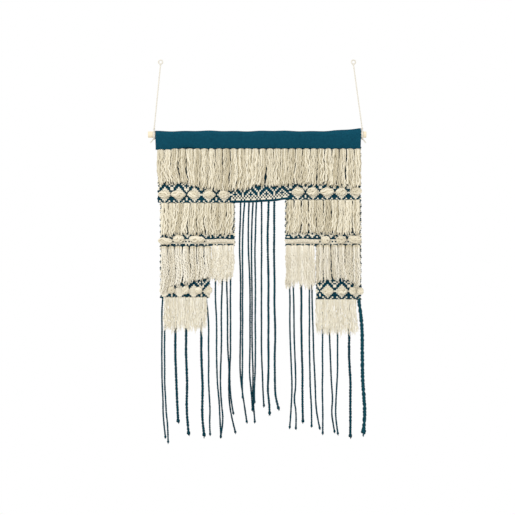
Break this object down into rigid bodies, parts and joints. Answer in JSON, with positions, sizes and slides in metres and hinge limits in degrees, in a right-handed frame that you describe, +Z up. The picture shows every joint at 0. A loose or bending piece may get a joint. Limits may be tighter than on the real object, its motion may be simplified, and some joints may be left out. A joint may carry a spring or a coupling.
{
  "type": "tapestry wall hanging",
  "caption": "Woven wall hanging on a wooden dowel, with a stepped lower edge, rows of knotted fringe, patterned bands, bobbles and long hanging cords.",
  "frame": {"origin": "on the hook line, where the two hanging loops rest on their hooks, above the middle of the header", "axes": "+Z up, +Y towards the wall behind the hanging, +X along the dowel to the right as seen from the front"},
  "size_m": [0.6484, 0.0242, 1.1394],
  "materials": {
    "pine": "bare sanded pine, matt",
    "hanging_cord": "twisted off-white cotton, matt",
    "teal_cord": "twisted dyed cotton, matt",
    "teal_twill": "fine dyed twill, matt with a soft sheen",
    "woven_ground": "teal and cream pick-up weave, matt",
    "cream_yarn": "plied natural cotton yarn, matt",
    "combed_fibre": "combed natural fibre, soft",
    "cream_roving": "unspun natural roving, soft"
  },
  "bodies": {
    "hanger": {"dowel": "pine", "left_hitch": "hanging_cord", "right_hitch": "hanging_cord", "left_hanging_cord": "hanging_cord", "right_hanging_cord": "hanging_cord", "left_loop": "hanging_cord", "right_loop": "hanging_cord"},
    "textile": {"header_sleeve": "teal_twill", "upper_ground_weave": "woven_ground", "wide_pattern_band": "woven_ground", "left_leg_weave": "woven_ground", "right_leg_weave": "woven_ground", "left_foot_weave": "woven_ground", "right_foot_weave": "woven_ground", "knot_row_top": "cream_yarn", "knot_rows_left": "cream_yarn", "knot_rows_right": "cream_yarn", "bobbles_top": "cream_roving", "bobbles_left": "cream_roving", "bobbles_right": "cream_roving"},
    "top_fringe": {"fringe_top": "cream_yarn"},
    "left_second_fringe": {"fringe_left_second": "cream_yarn"},
    "right_second_fringe": {"fringe_right_second": "cream_yarn"},
    "left_third_fringe": {"fringe_left_third": "cream_yarn"},
    "right_third_fringe": {"fringe_right_third": "cream_yarn"},
    "left_leg_hem": {"fringe_left_inner": "combed_fibre", "left_cord_07": "teal_cord", "left_cord_08": "teal_cord", "left_cord_09": "teal_cord", "left_cord_10": "teal_cord"},
    "right_leg_hem": {"fringe_right_inner": "combed_fibre", "right_cord_01": "teal_cord", "right_cord_02": "teal_cord", "right_cord_03": "teal_cord", "right_cord_04": "teal_cord", "right_cord_05": "teal_cord"},
    "left_foot_hem": {"fringe_left_fourth": "combed_fibre", "left_cord_01": "teal_cord", "left_cord_02": "teal_cord", "left_cord_03": "teal_cord", "left_cord_04": "teal_cord", "left_cord_05": "teal_cord", "left_cord_06": "teal_cord"},
    "right_foot_hem": {"fringe_right_fourth": "combed_fibre", "right_cord_06": "teal_cord", "right_cord_07": "teal_cord", "right_cord_08": "teal_cord", "right_cord_09": "teal_cord", "right_cord_10": "teal_cord"},
    "centre_cords": {"centre_cord_01": "teal_cord", "centre_cord_02": "teal_cord", "centre_cord_03": "teal_cord", "centre_cord_04": "teal_cord", "centre_cord_05": "teal_cord", "centre_cord_06": "teal_cord", "centre_cord_07": "teal_cord", "centre_cord_08": "teal_cord"}
  },
  "joints": [
    {"name": "textile_swing", "type": "hinge", "parent": "hanger", "child": "textile", "pos_m": [0, 0, -0.22], "axis": [-1, 0, 0], "range_deg": [-25, 45]},
    {"name": "top_fringe_lift", "type": "hinge", "parent": "textile", "child": "top_fringe", "pos_m": [0, 0.0035, -0.2759], "axis": [-1, 0, 0], "range_deg": [0, 75]},
    {"name": "left_second_fringe_lift", "type": "hinge", "parent": "textile", "child": "left_second_fringe", "pos_m": [0, 0.0035, -0.4369], "axis": [-1, 0, 0], "range_deg": [0, 75]},
    {"name": "right_second_fringe_lift", "type": "hinge", "parent": "textile", "child": "right_second_fringe", "pos_m": [0, 0.0035, -0.4279], "axis": [-1, 0, 0], "range_deg": [0, 75]},
    {"name": "left_third_fringe_lift", "type": "hinge", "parent": "textile", "child": "left_third_fringe", "pos_m": [0, 0.0035, -0.5649], "axis": [-1, 0, 0], "range_deg": [0, 75]},
    {"name": "right_third_fringe_lift", "type": "hinge", "parent": "textile", "child": "right_third_fringe", "pos_m": [0, 0.0035, -0.5609], "axis": [-1, 0, 0], "range_deg": [0, 75]},
    {"name": "left_leg_hem_swing", "type": "hinge", "parent": "textile", "child": "left_leg_hem", "pos_m": [0, 0.00975, -0.553], "axis": [-1, 0, 0], "range_deg": [-15, 60]},
    {"name": "right_leg_hem_swing", "type": "hinge", "parent": "textile", "child": "right_leg_hem", "pos_m": [0, 0.00975, -0.553], "axis": [-1, 0, 0], "range_deg": [-15, 60]},
    {"name": "left_foot_hem_swing", "type": "hinge", "parent": "textile", "child": "left_foot_hem", "pos_m": [0, 0.00975, -0.708], "axis": [-1, 0, 0], "range_deg": [-15, 60]},
    {"name": "right_foot_hem_swing", "type": "hinge", "parent": "textile", "child": "right_foot_hem", "pos_m": [0, 0.00975, -0.714], "axis": [-1, 0, 0], "range_deg": [-15, 60]},
    {"name": "centre_cords_swing", "type": "hinge", "parent": "textile", "child": "centre_cords", "pos_m": [0, 0.00975, -0.416], "axis": [-1, 0, 0], "range_deg": [-15, 60]}
  ]
}
